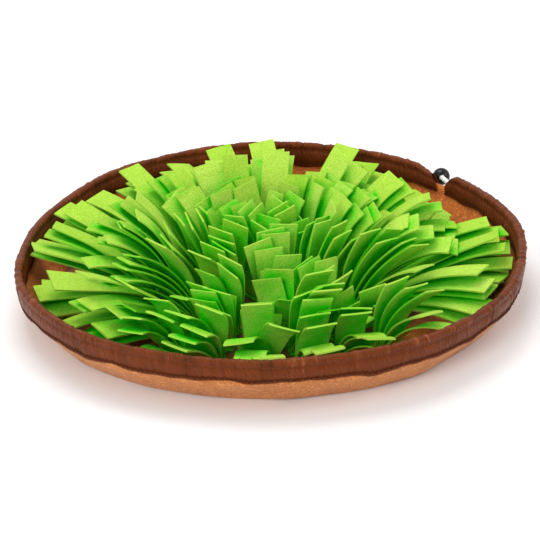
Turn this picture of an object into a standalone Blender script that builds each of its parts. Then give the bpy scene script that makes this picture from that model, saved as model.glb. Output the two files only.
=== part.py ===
"""Snuffle mat: a cloth dish with a drawn-up rim, filled with bunches of felt strips.

The mat stands on the plane z = 0 with its middle on the z axis. The side that
is nearest to a person looking along +Y is its front. Angles are measured from
+X, anticlockwise seen from above.
"""
import math
import random

import bmesh
import bpy
from mathutils import Quaternion, Vector
from mathutils.bvhtree import BVHTree

mm = 0.001

UP = Vector((0, 0, 1))

# ---- driving dimensions ------------------------------------------------------

RIM_RADIUS = 240 * mm          # outside of the drawn rim
RIM_HEIGHT = 51.4 * mm         # top of the casing above the surface
FLOOR_RADIUS = 212 * mm        # where the cloth leaves the surface
SEAM_HEIGHT = 28.5 * mm        # lower edge of the casing
SEAM_INSET = 4.3 * mm          # outside of the cloth at the seam, in from the rim
WALL_SLOPE = 0.8               # 0 is a wall as round as a bowl's, 1 a straight slope
CLOTH = 2.0 * mm               # thickness of the base cloth
GAP = 0.3 * mm                 # clearance between pieces that touch

CASING_MIDDLE = 3.4 * mm       # middle of the rim's wall, in from its outside
CASING_HALF = 3.0 * mm         # room kept for the casing inside the cloth
CLOTH_EDGE = 16.0 * mm         # top edge of the base cloth below the rim's top
SEAM_LAP = 2.0 * mm            # the casing may reach this far below the seam

MOUTH_START = 35.5             # top of the casing's full mouth (degrees)
MOUTH_END = 44.2               # top of its slanted mouth, past the toggle
MOUTH_SLANT = 3.0              # the foot of each mouth reaches this much further (degrees)
RIM_DIP = 6.0 * mm             # the rim sinks at the slanted mouth
RIM_DIP_WIDTH = 3.0            # degrees

STRIP_WIDTH = 26 * mm
FELT = 1.6 * mm
LEAST_PITCH = 2.7 * mm         # strips of a bunch, measured where they are sewn
LAYER = 2.3 * mm               # and where they bend outward
BACKING = 1.5 * mm             # thickness of a bunch's backing strip
BACKING_LIP = 3.0 * mm         # it reaches this far past the first and last strip
ELBOW_OUT = 1.2 * mm           # where the first strip bends, from its root
ELBOW_UP = 3.6 * mm
CLEAR = 0.45 * mm              # least gap between strips
STRIP_PARTS = 2                # straight pieces of a bent strip
TRIES = 80                     # poses tried for each strip

LOCK_ANGLE = 43.5              # the ball hangs just outside the rim
LOCK_RADIUS = 9.1 * mm
LOCK_REACH = 246.5 * mm
LOCK_HEIGHT = 37.0 * mm
CORD = 5.0 * mm                # diameter

# How far the outline strays from a circle: waves round the rim, cosine and sine parts.
OUTLINE = (
    # waves, cosine, sine
    (2, -3.4 * mm, 0.2 * mm),
    (3, 1.4 * mm, -3.9 * mm),
    (4, -0.4 * mm, 2.0 * mm),
    (11, 0.5 * mm, 0.3 * mm),
)

# That outline leans to one side: this puts the middle of its box on the z axis.
MIDDLE = Vector((-1.9 * mm, -3.6 * mm, 0))

# Soft gathers in the wall below the casing.
GATHERS = (
    # waves, height, phase
    (13, 0.9 * mm, 0.4),
    (22, 0.6 * mm, 2.1),
)

# The rings of felt bunches, from the rim inward. Angles are in degrees, leans are above the floor.
RINGS = (
    # name, bunches, first angle, arc, root radius, strips, pitch, lean, lean spread, length,
    # fan, bend, turn
    ("front", 6, 238.0, 84, 170 * mm, 5, 2.7 * mm, 64, 40, 78 * mm, 14, 20, 16),
    ("outer", 22, 4.0, 360, 120 * mm, 5, 2.7 * mm, 19, 22, 118 * mm, 9, 12, 10),
    ("second", 14, 12.0, 360, 95 * mm, 6, 3.0 * mm, 58, 28, 95 * mm, 10, 26, 24),
    ("third", 9, 30.0, 360, 66 * mm, 6, 3.8 * mm, 77, 28, 85 * mm, 12, 22, 30),
    ("centre", 4, 60.0, 360, 34 * mm, 5, 4.4 * mm, 90, 24, 80 * mm, 13, 18, 50),
)

# Where the bunches of a ring are pushed about: how much more they lean and less they bend,
# how far their roots move outward, and how much of their length stays.
PUSHED = (
    # ring, angle, half width, more lean, less bend, outward, length share
    ("outer", 95, 44, 10, 0, -8 * mm, 0.96),
    ("outer", 268, 32, 50, 0, 22 * mm, 0.78),
    ("outer", 44, 13, 0, 0, -4 * mm, 0.82),
    ("second", 268, 50, 20, 12, 18 * mm, 0.95),
    ("second", 20, 30, -12, 0, 0, 1.10),
    ("third", 268, 70, 8, 12, 6 * mm, 1.0),
)

STATIONS = 72                  # round the rim
SEED = 15


# ---- shared helpers ----------------------------------------------------------

def material(name, colour, roughness):
    """A plain surface of one colour."""
    surface = bpy.data.materials.new(name)
    surface.use_nodes = True
    shader = surface.node_tree.nodes["Principled BSDF"]
    shader.inputs["Base Color"].default_value = (*colour, 1.0)
    shader.inputs["Roughness"].default_value = roughness
    return surface


def add_object(name, vertices, faces, surface, smooth=True):
    """A mesh object with its faces turned outward."""
    mesh = bpy.data.meshes.new(name)
    mesh.from_pydata([tuple(v) for v in vertices], [], faces)
    shape = bmesh.new()
    shape.from_mesh(mesh)
    bmesh.ops.recalc_face_normals(shape, faces=shape.faces)
    shape.to_mesh(mesh)
    shape.free()
    if smooth:
        mesh.shade_smooth()
        mesh.set_sharp_from_angle(angle=math.radians(40))
    mesh.materials.append(surface)
    piece = bpy.data.objects.new(name, mesh)
    bpy.context.scene.collection.objects.link(piece)
    return piece


def outward(angle):
    """The direction away from the mat's middle at an angle in radians."""
    return Vector((math.cos(angle), math.sin(angle), 0))


def polar(angle, radius, height):
    """A point from its angle, distance from the mat's middle and height."""
    return MIDDLE + outward(angle) * radius + UP * height


# ---- the dish ----------------------------------------------------------------

def outline_offset(angle):
    """How far the rim stands out from its circle at an angle."""
    return sum(c * math.cos(n * angle) + s * math.sin(n * angle) for n, c, s in OUTLINE)


def rim_top(angle):
    """Height of the casing's top."""
    wave = 0.7 * mm * math.sin(5 * angle + 1.0) + 0.4 * mm * math.sin(9 * angle)
    away = math.remainder(angle - math.radians(MOUTH_END), math.tau)
    return RIM_HEIGHT + wave - RIM_DIP * math.exp(-(away / math.radians(RIM_DIP_WIDTH)) ** 2)


def wall_middle(angle, height):
    """Distance from the axis to the middle of the rim's wall, at or above the seam."""
    rim = RIM_RADIUS + outline_offset(angle)
    top = rim - CASING_MIDDLE
    seam = rim - SEAM_INSET - 0.5 * CLOTH
    share = (height - SEAM_HEIGHT) / (RIM_HEIGHT - SEAM_HEIGHT)
    return seam + share * (top - seam)


def dish_profile(angle, steps=5):
    """Outer and inner points of the base cloth at one angle, from the floor to its edge."""
    stretch = 1 + outline_offset(angle) / RIM_RADIUS
    foot = FLOOR_RADIUS * stretch
    seam = wall_middle(angle, SEAM_HEIGHT) + 0.5 * CLOTH
    top = SEAM_HEIGHT - SEAM_LAP
    gather = sum(h * math.cos(n * angle + p) for n, h, p in GATHERS)
    outer = []
    inner = []
    for step in range(steps + 1):
        turn = 0.5 * math.pi * step / steps
        across = (1 - WALL_SLOPE) * math.sin(turn) + WALL_SLOPE * (1 - math.cos(turn))
        run = (seam - foot) * ((1 - WALL_SLOPE) * math.cos(turn) + WALL_SLOPE * math.sin(turn))
        rise = top * math.sin(turn)
        out = Vector((rise, -run)).normalized()
        point = Vector((foot + (seam - foot) * across, top * (1 - math.cos(turn))))
        point += out * gather * math.sin(2 * turn) ** 2
        outer.append(point)
        inner.append(point - out * CLOTH)
    edge = RIM_HEIGHT - CLOTH_EDGE
    for side, points in ((0.5, outer), (-0.5, inner)):
        points.append(Vector((wall_middle(angle, edge) + side * CLOTH, edge)))
    return outer, inner


def wall_inside(angle, height):
    """Distance from the axis to the inside of the wall, for what lies in the dish."""
    outer, inner = dish_profile(angle)
    for low, high in zip(inner, inner[1:]):
        if low.y <= height <= high.y:
            share = (height - low.y) / (high.y - low.y)
            reach = low.x + share * (high.x - low.x)
            break
    else:
        reach = inner[-1].x if height > inner[-1].y else inner[0].x
    if height > SEAM_HEIGHT - SEAM_LAP:
        reach -= CASING_HALF
    return reach


def make_base_cloth(surface):
    """The one-piece dish: flat floor, turned-up wall, thin edge inside the casing."""
    rings = []
    for station in range(STATIONS):
        angle = math.tau * station / STATIONS
        outer, inner = dish_profile(angle)
        ring = [polar(angle, p.x, p.y) for p in outer + inner[::-1]]
        rings.append(ring)
    count = len(rings[0])
    vertices = [point for ring in rings for point in ring]
    faces = []
    for station in range(STATIONS):
        a = station * count
        b = (station + 1) % STATIONS * count
        for k in range(count - 1):
            faces.append((a + k, a + k + 1, b + k + 1, b + k))
    faces.append(tuple(station * count for station in range(STATIONS)))
    faces.append(tuple(station * count + count - 1 for station in range(STATIONS)))
    return add_object("base_cloth", vertices, faces, surface)


# ---- the casing --------------------------------------------------------------

# The casing is a flattened sleeve. Each row is a level: the share of the sleeve's height above
# the seam, then how far its outside and its inside stand from the middle of the wall.
CASING_LEVELS = (
    # share, outside, inside
    (-0.03, 2.6 * mm, 1.5 * mm),
    (0.14, 3.3 * mm, 1.5 * mm),
    (0.42, 3.8 * mm, 2.5 * mm),
    (0.70, 3.1 * mm, 1.9 * mm),
    (0.88, 3.4 * mm, 2.0 * mm),
)
SLEEVE_TOP = 1.0 * mm          # half width of the flat at the very top
CROWN_INSIDE = 0.6 * mm        # and of the tunnel's top
CROWN_SHARE = 0.94

# How the sleeve changes near its mouths: the angle back from the mouth (degrees), how much
# fuller it is, and its share of the mouth's slant.
CLOSED_MOUTH = (
    (0.0, 0.84, 1.0),
    (2.9, 1.0, 0.45),
)
FULL_MOUTH = (
    (5.5, 1.12, 0.0),
    (2.75, 1.26, 0.45),
    (0.0, 1.30, 1.0),
)


def casing_section(angle, swell, slant):
    """One cut through the casing: its outer line, then its inner line back again."""
    height = rim_top(angle) - SEAM_HEIGHT

    def place(out, share):
        up = SEAM_HEIGHT + share * height
        turned = angle + slant * (1 - max(share, 0) ** 3)
        return polar(turned, wall_middle(turned, up) + out, up)

    right = []
    left = []
    for level, (share, outside, inside) in enumerate(CASING_LEVELS):
        grow = swell if level > 1 else 1
        right.append((place(outside * grow, share), place(inside * grow, share)))
        left.append((place(-outside * grow, share), place(-inside * grow, share)))
    crown = (place(SLEEVE_TOP, 1.0), place(CROWN_INSIDE, CROWN_SHARE))
    far_crown = (place(-SLEEVE_TOP, 1.0), place(-CROWN_INSIDE, CROWN_SHARE))
    return right + [crown, far_crown] + left[::-1]


def make_rim_channel(surface):
    """The brown casing, from its slanted mouth round to its full mouth."""
    pitch = 360 / STATIONS
    first = math.ceil((MOUTH_END + MOUTH_SLANT) / pitch)
    last = math.floor((360 + MOUTH_START - MOUTH_SLANT) / pitch) - 1
    rows = []
    for angle, swell, slant in CLOSED_MOUTH:
        rows.append((MOUTH_END + angle, swell, -slant * MOUTH_SLANT))
    for step in range(first, last + 1):
        rows.append((pitch * step, 1 + 0.03 * math.sin(0.9 * step), 0))
    for angle, swell, slant in FULL_MOUTH:
        rows.append((360 + MOUTH_START - angle, swell, slant * MOUTH_SLANT))
    sections = [casing_section(math.radians(a), swell, math.radians(slant))
                for a, swell, slant in rows]
    levels = len(sections[0])
    vertices = [point for pairs in sections for pair in pairs for point in pair]

    def number(section, level, inner):
        return (section * levels + level) * 2 + inner

    faces = []
    for section in range(len(sections) - 1):
        nxt = section + 1
        for level in range(levels - 1):
            for inner in (0, 1):
                faces.append((number(section, level, inner), number(section, level + 1, inner),
                              number(nxt, level + 1, inner), number(nxt, level, inner)))
        for level in (0, levels - 1):
            faces.append((number(section, level, 0), number(section, level, 1),
                          number(nxt, level, 1), number(nxt, level, 0)))
    for section in (0, len(sections) - 1):
        for level in range(levels - 1):
            faces.append((number(section, level, 0), number(section, level + 1, 0),
                          number(section, level + 1, 1), number(section, level, 1)))
    return add_object("rim_channel", vertices, faces, surface)


# ---- the felt ----------------------------------------------------------------

def strip_sections(strip, thickness):
    """Four corners at each station of a strip, from where it bends to its tip."""
    normal = UP * math.cos(strip["lean"]) - strip["out"] * math.sin(strip["lean"])
    along = strip["out"] * math.cos(strip["lean"]) + UP * math.sin(strip["lean"])
    width = strip["side"].copy()
    fan = Quaternion(normal, strip["fan"])
    along = fan @ along
    width = fan @ width
    place = strip["elbow"].copy()
    sections = []
    for part in range(STRIP_PARTS + 1):
        half_w = 0.5 * STRIP_WIDTH * width
        half_t = 0.5 * thickness * normal
        sections.append([place - half_w - half_t, place + half_w - half_t,
                         place + half_w + half_t, place - half_w + half_t])
        if part == STRIP_PARTS:
            break
        half_bend = Quaternion(width, 0.5 * strip["bend"] / STRIP_PARTS)
        along = half_bend @ along
        place = place + along * strip["length"] / STRIP_PARTS
        along = half_bend @ along
        along = along.normalized()
        width = Quaternion(along, strip["twist"] / STRIP_PARTS) @ width
        normal = along.cross(width).normalized()
    return sections


def foot_section(strip, thickness):
    """The same four corners where the strip stands on its backing."""
    half_w = 0.5 * STRIP_WIDTH * strip["side"]
    half_t = 0.5 * thickness * strip["out"]
    foot = strip["foot"]
    return [foot + half_t - half_w, foot + half_t + half_w,
            foot - half_t + half_w, foot - half_t - half_w]


def closed_box(sections):
    """A tree for overlap tests, of a body lofted through sections of four corners."""
    vertices = [tuple(point) for section in sections for point in section]
    faces = [(0, 1, 2, 3), tuple(range(len(vertices) - 4, len(vertices)))]
    for a in range(0, len(vertices) - 4, 4):
        faces += [(a + k, a + (k + 1) % 4, a + 4 + (k + 1) % 4, a + 4 + k) for k in range(4)]
    return BVHTree.FromPolygons(vertices, faces)


def strip_body(strip, thickness, foot):
    """The strip by itself, with or without its foot, for finding what it touches."""
    feet = [foot_section(strip, thickness)] if foot else []
    return closed_box(feet + strip_sections(strip, thickness))


def backing_body(root, out, side, depth, clearance):
    """The backing of a bunch by itself, from the depth between its first and last strip."""
    front = root + out * (BACKING_LIP + clearance)
    back = root - out * (depth + BACKING_LIP + clearance)
    half_w = (0.5 * STRIP_WIDTH + clearance) * side
    drop = UP * BACKING
    rise = UP * clearance
    return closed_box([[place - half_w - drop, place + half_w - drop,
                        place + half_w + rise, place - half_w + rise]
                       for place in (front, back)])


def inside_dish(strip):
    """True where no corner of the strip goes through the floor or the wall."""
    for section in strip_sections(strip, FELT):
        for corner in section:
            if corner.z < CLOTH + GAP:
                return False
            away = corner - MIDDLE
            angle = math.atan2(away.y, away.x)
            if math.hypot(away.x, away.y) > wall_inside(angle, corner.z) - CLEAR:
                return False
    return True


def bunch_frame(angle, reach, turn):
    """Root point and the outward and sideways directions of a bunch."""
    root = polar(angle, reach, CLOTH + GAP + BACKING)
    out = outward(angle + turn)
    return root, out, UP.cross(out)


def try_strip(draw, nominal, attempt):
    """A variation of a strip's pose, wider with each failed attempt."""
    strip = dict(nominal)
    spread = 1 + 0.12 * attempt
    strip["fan"] += draw.uniform(-1, 1) * nominal["fan_range"] * min(spread, 1.8)
    strip["lean"] += draw.uniform(-0.35, 0.35) * nominal["lean_step"] * spread
    strip["bend"] += draw.uniform(-1, 1) * math.radians(6) * spread
    strip["twist"] += draw.uniform(-1, 1) * math.radians(6)
    strip["length"] *= draw.uniform(0.95, 1.03) * (1 - 0.008 * attempt)
    return strip


def pushed(ring, angle):
    """More lean, less bend, outward shift and length share of a ring's bunch at an angle."""
    more, less, shift, share = 0.0, 0.0, 0.0, 1.0
    for name, middle, width, lean, bend, out, kept in PUSHED:
        if name == ring:
            away = (angle - middle + 180) % 360 - 180
            near = math.exp(-(away / width) ** 2)
            more += lean * near
            less += bend * near
            shift += out * near
            share -= (1 - kept) * near
    return more, less, shift, share


def lay_bunches():
    """Every bunch of every ring, laid from the rim inward so that no two strips meet."""
    draw = random.Random(SEED)
    laid = []
    bunches = []
    for (name, bunch_count, first, arc, reach, strips, pitch, lean, spread, length,
            fan, bend, turn) in RINGS:
        depth = pitch * (strips - 1)
        for index in range(bunch_count):
            degrees = first + arc * (index + draw.uniform(-0.12, 0.12)) / bunch_count
            more, less, shift, share = pushed(name, degrees)
            for attempt in range(TRIES):
                turned = math.radians(draw.uniform(-turn, turn))
                slip = draw.uniform(-3, 3) * (1 + 0.06 * attempt) * mm
                root, out, side = bunch_frame(
                    math.radians(degrees), reach + shift + slip, turned)
                backing = backing_body(root, out, side, depth, CLEAR)
                if not any(backing.overlap(other) for other in laid):
                    break
            else:
                continue
            step = math.radians(spread) / (strips - 1)
            middle_lean = lean + more + draw.uniform(-6, 6)
            lowest = math.radians(max(middle_lean - 0.5 * spread, 4))
            bunch_fan = math.radians(draw.uniform(-0.8, 0.8) * fan)
            bunch_bend = math.radians(bend - less + draw.uniform(-8, 8))
            bunch_twist = math.radians(draw.uniform(-14, 14))
            elbow = root + out * ELBOW_OUT + UP * ELBOW_UP
            placed = []
            own = []
            for layer in range(strips):
                strip_lean = lowest + step * layer
                if layer:
                    normal = UP * math.cos(strip_lean) - out * math.sin(strip_lean)
                    elbow = elbow + normal * LAYER - out * (pitch - LEAST_PITCH)
                foot = root - out * pitch * layer
                nominal = dict(
                    foot=foot, elbow=elbow, out=out, side=side, lean=strip_lean,
                    fan=bunch_fan, fan_range=math.radians(fan), lean_step=step,
                    bend=bunch_bend, twist=bunch_twist,
                    length=share * length - (elbow - foot).length)
                for attempt in range(TRIES):
                    strip = try_strip(draw, nominal, attempt)
                    if not inside_dish(strip):
                        continue
                    body = strip_body(strip, FELT + 2 * CLEAR, True)
                    blade = strip_body(strip, FELT + 2 * CLEAR, False)
                    if any(body.overlap(other) for other in laid):
                        continue
                    if any(blade.overlap(other) for other in own):
                        continue
                    own.append(strip_body(strip, FELT, False))
                    placed.append(strip)
                    break
            laid += [strip_body(strip, FELT, True) for strip in placed]
            laid.append(backing_body(root, out, side, depth, 0))
            if len(placed) > 1:
                bunches.append((f"felt_{name}_{index + 1:02d}", root, out, side, placed))
    return bunches


def make_bunch(name, root, out, side, strips, surface):
    """A narrow backing strip with its felt strips rising from it, as one closed piece."""
    vertices = []
    faces = []

    def add(point):
        vertices.append(point)
        return len(vertices) - 1

    half_w = 0.5 * STRIP_WIDTH * side
    drop = -UP * BACKING
    front = root + BACKING_LIP * out
    back = strips[-1]["foot"] - BACKING_LIP * out
    left_top = [add(front - half_w)]
    right_top = [add(front + half_w)]
    for strip in strips:
        rings = [foot_section(strip, FELT)] + strip_sections(strip, FELT)
        numbers = [[add(point) for point in ring] for ring in rings]
        for low, high in zip(numbers, numbers[1:]):
            for k in range(4):
                nxt = (k + 1) % 4
                faces.append((low[k], low[nxt], high[nxt], high[k]))
        faces.append(tuple(numbers[-1]))
        faces.append((left_top[-1], right_top[-1], numbers[0][1], numbers[0][0]))
        left_top += [numbers[0][0], numbers[0][3]]
        right_top += [numbers[0][1], numbers[0][2]]
    left_top.append(add(back - half_w))
    right_top.append(add(back + half_w))
    faces.append((left_top[-2], right_top[-2], right_top[-1], left_top[-1]))
    low_left_front, low_right_front = add(front - half_w + drop), add(front + half_w + drop)
    low_left_back, low_right_back = add(back - half_w + drop), add(back + half_w + drop)
    faces.append((low_left_front, low_right_front, low_right_back, low_left_back))
    faces.append((left_top[0], right_top[0], low_right_front, low_left_front))
    faces.append((left_top[-1], right_top[-1], low_right_back, low_left_back))
    faces.append(tuple(left_top) + (low_left_back, low_left_front))
    faces.append(tuple(right_top) + (low_right_back, low_right_front))
    return add_object(name, vertices, faces, surface, smooth=False)


# ---- the toggle and its cord -------------------------------------------------

def lock_frame():
    """Middle of the ball, and the sideways and outward directions there."""
    angle = math.radians(LOCK_ANGLE)
    out = outward(angle)
    return polar(angle, LOCK_REACH, LOCK_HEIGHT), UP.cross(out), out


BORE = (0.70, 0.66, -0.27)     # direction of the ball's bore: sideways, outward, up
BORE_GAP = 0.45 * mm           # room round the cord


def make_cord_lock(surface):
    """A ball with a bore for the cord."""
    middle, side, out = lock_frame()
    axis = side * BORE[0] + out * BORE[1] + UP * BORE[2]
    turn = UP.rotation_difference(axis)
    bpy.ops.mesh.primitive_uv_sphere_add(
        segments=20, ring_count=12, radius=LOCK_RADIUS, location=middle)
    ball = bpy.context.object
    ball.name = "cord_lock"
    ball.rotation_mode = "QUATERNION"
    ball.rotation_quaternion = turn
    ball.data.shade_smooth()
    ball.data.materials.append(surface)
    bpy.ops.mesh.primitive_cylinder_add(
        vertices=16, radius=0.5 * CORD + BORE_GAP, depth=4 * LOCK_RADIUS, location=middle)
    bore = bpy.context.object
    bore.name = "bore_cutter"
    bore.rotation_mode = "QUATERNION"
    bore.rotation_quaternion = turn
    bore.hide_render = True
    bore.display_type = "WIRE"
    cut = ball.modifiers.new("bore", "BOOLEAN")
    cut.object = bore
    cut.solver = "EXACT"
    cut.operation = "DIFFERENCE"
    return ball


# Route of the cord about the ball's middle, in mm. It starts inside the casing's full mouth,
# goes through the ball and hangs down behind the rim to the surface.
CORD_ROUTE = (
    # sideways, outward, up
    (-33.0, -16.2, 3.7),
    (-22.5, -14.9, 3.9),
    (-12.3, -10.4, 3.8),
    (-4.2, -4.0, 1.6),
    (4.2, 4.0, -1.6),
    (11.6, 10.8, -7.4),
    (13.9, 14.0, -20.0),
    (15.0, 21.4, -32.0),
    (14.4, 28.0, -34.1),
    (9.2, 41.0, -34.3),
)
ROUTE_STEPS = 2                # points of the cord for each row above
KNOT_SIZE = (7.0 * mm, 6.6 * mm, 5.6 * mm)


def smooth_route(points):
    """Points on a smooth curve through the given ones."""
    ends = [2 * points[0] - points[1]] + points + [2 * points[-1] - points[-2]]
    route = []
    for a, b, c, d in zip(ends, ends[1:], ends[2:], ends[3:]):
        for step in range(ROUTE_STEPS):
            t = step / ROUTE_STEPS
            route.append(0.5 * (2 * b + (c - a) * t + (2 * a - 5 * b + 4 * c - d) * t ** 2
                                + (3 * b - a - 3 * c + d) * t ** 3))
    route.append(points[-1])
    return route


def make_cord(surface):
    """The drawcord's free end, from its mouth through the ball down to the knot."""
    middle, side, out = lock_frame()
    points = smooth_route([middle + (s * side + o * out + z * UP) * mm
                           for s, o, z in CORD_ROUTE])
    curve = bpy.data.curves.new("draw_cord", "CURVE")
    curve.dimensions = "3D"
    curve.bevel_depth = 0.5 * CORD
    curve.bevel_resolution = 2
    curve.use_fill_caps = True
    line = curve.splines.new("POLY")
    line.points.add(len(points) - 1)
    for point, place in zip(line.points, points):
        point.co = (*place, 1)
    curve.materials.append(surface)
    strand = bpy.data.objects.new("draw_cord", curve)
    bpy.context.scene.collection.objects.link(strand)
    return strand


def make_knot(surface):
    """The knot at the cord's end, a squashed ball with the lumps of its turns."""
    middle, side, out = lock_frame()
    last, before = (Vector(row) for row in (CORD_ROUTE[-1], CORD_ROUTE[-2]))
    heading = (last - before).normalized()
    along = side * heading.x + out * heading.y
    across = UP.cross(along)
    place = middle + (side * last.x + out * last.y) * mm + along * (KNOT_SIZE[0] + GAP)
    place.z = KNOT_SIZE[2] + GAP
    shape = bmesh.new()
    bmesh.ops.create_uvsphere(shape, u_segments=14, v_segments=9, radius=1)
    for vertex in shape.verts:
        v = vertex.co.normalized()
        lump = 1 - 0.06 * (1 + math.cos(3 * math.atan2(v.y, v.z) + 3 * v.x))
        v = v * lump
        vertex.co = (place + along * v.x * KNOT_SIZE[0] + across * v.y * KNOT_SIZE[1]
                     + UP * v.z * KNOT_SIZE[2])
    mesh = bpy.data.meshes.new("cord_knot")
    shape.to_mesh(mesh)
    shape.free()
    mesh.shade_smooth()
    mesh.materials.append(surface)
    knot = bpy.data.objects.new("cord_knot", mesh)
    bpy.context.scene.collection.objects.link(knot)
    return knot


# ---- the mat -----------------------------------------------------------------

for old in list(bpy.data.objects):
    bpy.data.objects.remove(old, do_unlink=True)

suede = material("tan_suede", (0.55, 0.19, 0.06), 0.85)
nylon = material("brown_nylon", (0.16, 0.045, 0.018), 0.45)
felt = material("green_felt", (0.30, 0.62, 0.03), 0.9)
plastic = material("black_plastic", (0.012, 0.012, 0.013), 0.15)
cotton = material("white_cord", (0.75, 0.75, 0.73), 0.7)

make_base_cloth(suede)
make_rim_channel(nylon)
for bunch_name, bunch_root, bunch_out, bunch_side, bunch_strips in lay_bunches():
    make_bunch(bunch_name, bunch_root, bunch_out, bunch_side, bunch_strips, felt)
make_cord_lock(plastic)
make_cord(cotton)
make_knot(cotton)
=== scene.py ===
"""The looks of the snuffle mat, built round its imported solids, in metres."""
import math
import random

import bmesh
import bpy
import numpy as np
from mathutils import Matrix, Quaternion, Vector
from mathutils.bvhtree import BVHTree


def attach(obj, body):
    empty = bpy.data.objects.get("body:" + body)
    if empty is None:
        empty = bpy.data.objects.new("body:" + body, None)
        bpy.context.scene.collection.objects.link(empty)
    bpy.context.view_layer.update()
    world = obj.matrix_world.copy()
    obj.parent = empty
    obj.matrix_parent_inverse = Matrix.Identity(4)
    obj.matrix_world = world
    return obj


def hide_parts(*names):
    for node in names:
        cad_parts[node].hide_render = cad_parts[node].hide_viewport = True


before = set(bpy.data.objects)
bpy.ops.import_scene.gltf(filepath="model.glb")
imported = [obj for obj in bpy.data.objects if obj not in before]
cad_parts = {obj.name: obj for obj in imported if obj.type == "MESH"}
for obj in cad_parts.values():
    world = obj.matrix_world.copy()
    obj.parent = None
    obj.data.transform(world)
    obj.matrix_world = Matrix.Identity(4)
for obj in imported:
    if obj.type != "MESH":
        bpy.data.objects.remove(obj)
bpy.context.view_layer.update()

mm = 0.001
UP = Vector((0, 0, 1))
scene = bpy.context.scene

# ---- Camera, light and floor -------------------------------------------------
# A long lens looks down at the mat from the front, a little turned about its own axis.
# Broad soft light comes from above and from the front, over a pale floor.

MAT_MIDDLE = Vector((-1.9 * mm, -3.6 * mm, 0))
LOOK_DOWN = math.radians(26.5)
CAMERA_AWAY = 1.536
CAMERA_ROLL = math.radians(-1.48)


def add_object(name, data):
    """A new object of the scene."""
    made = bpy.data.objects.new(name, data)
    scene.collection.objects.link(made)
    return made


lens = bpy.data.cameras.new("camera")
lens.sensor_width = 36
lens.lens = 107.4
lens.shift_x = -0.0030
lens.shift_y = 0.0293
lens.clip_start = 0.01
camera = add_object("camera", lens)
sight = Vector((0, math.cos(LOOK_DOWN), -math.sin(LOOK_DOWN)))
camera_right = Vector((math.cos(CAMERA_ROLL), 0, 0)) + Vector(
    (0, math.sin(LOOK_DOWN), math.cos(LOOK_DOWN))) * math.sin(CAMERA_ROLL)
camera_up = camera_right.cross(sight)
camera.matrix_world = Matrix.Translation(MAT_MIDDLE - sight * CAMERA_AWAY) @ Matrix(
    (camera_right, camera_up, -sight)).transposed().to_4x4()
scene.camera = camera

LIGHTS = (
    # name, place, width, power
    ("over", (-0.2, 0.45, 1.5), 0.9, 12),
    ("front", (-0.8, -1.7, 1.1), 0.8, 17),
    ("side", (1.5, -0.2, 0.9), 0.7, 5),
)
for name, place, width, power in LIGHTS:
    panel = bpy.data.lights.new(name, "AREA")
    panel.size = width
    panel.energy = power
    lamp = add_object(name, panel)
    lamp.location = place
    lamp.rotation_euler = (-Vector(place)).to_track_quat("-Z", "Y").to_euler()

room = bpy.data.worlds.new("room")
room.use_nodes = True
backdrop = room.node_tree.nodes["Background"]
backdrop.inputs["Color"].default_value = (1, 1, 1, 1)
backdrop.inputs["Strength"].default_value = 0.78
scene.world = room
scene.view_settings.view_transform = "Standard"


def feed(tree, socket, value):
    """Link a node's socket to another's output, or set it to a value."""
    if isinstance(value, bpy.types.NodeSocket):
        tree.links.new(value, socket)
    else:
        socket.default_value = value


def fill(tree, node, **inputs):
    """Feed a node's inputs by name, with spaces as underlines."""
    for key, value in inputs.items():
        wanted = key.replace("_", " ")
        feed(tree, next(s for s in node.inputs if s.name == wanted and s.enabled), value)


def finish(name, **inputs):
    """A new material with its shader, and its tree for the pattern nodes."""
    made = bpy.data.materials.new(name)
    made.use_nodes = True
    shader = made.node_tree.nodes["Principled BSDF"]
    fill(made.node_tree, shader, **inputs)
    return made, shader, made.node_tree


def add_node(tree, kind, settings=(), **inputs):
    """A node of a tree with its settings and inputs."""
    node = tree.nodes.new(kind)
    for key, value in settings:
        setattr(node, key, value)
    fill(tree, node, **inputs)
    return node


def mixed(tree, factor, first, second, blend="MIX"):
    """The colour between two colours, each a socket or three numbers."""
    mix = add_node(tree, "ShaderNodeMix", [("data_type", "RGBA"), ("blend_type", blend)])
    feed(tree, mix.inputs[0], factor)
    for socket, value in zip([s for s in mix.inputs if s.type == "RGBA"], (first, second)):
        feed(tree, socket, (*value, 1) if isinstance(value, tuple) else value)
    return mix.outputs[2]


def told(tree, name):
    """The numbers that a piece's points or faces carry under a name."""
    return add_node(tree, "ShaderNodeAttribute", [("attribute_name", name)]).outputs["Fac"]


def noise(tree, scale, detail, place=None, **inputs):
    """A cloudy pattern over the piece, or over the given coordinates."""
    if place is None:
        place = add_node(tree, "ShaderNodeTexCoord").outputs["Object"]
    return add_node(tree, "ShaderNodeTexNoise", Vector=place, Scale=scale, Detail=detail,
                    **inputs).outputs["Fac"]


def dress(tree, shader, colour, *layers):
    """A material's colour, and its bumps in layers of strength, depth and pattern."""
    below = {}
    for strength, depth, pattern in layers:
        bump = add_node(tree, "ShaderNodeBump", Strength=strength, Distance=depth,
                        Height=pattern, **below)
        below = {"Normal": bump.outputs[0]}
    fill(tree, shader, Base_Color=colour, **below)


def spread(tree, value, low, high):
    """A value stretched from low..high to 0..1 and kept there."""
    node = add_node(tree, "ShaderNodeMapRange", Value=value, From_Min=low, From_Max=high)
    return node.outputs[0]


def mesh_piece(name, vertices, faces, material):
    """An object of a piece from its points and faces."""
    mesh = bpy.data.meshes.new(name)
    mesh.from_pydata([tuple(v) for v in vertices], [], [tuple(f) for f in faces])
    mesh.materials.append(material)
    mesh.shade_smooth()
    return add_object(name, mesh)


def tell(piece, name, values, domain="POINT"):
    """Give each point or face of a piece a number, for its material to read."""
    piece.data.attributes.new(name, "FLOAT", domain).data.foreach_set("value", values)


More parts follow.
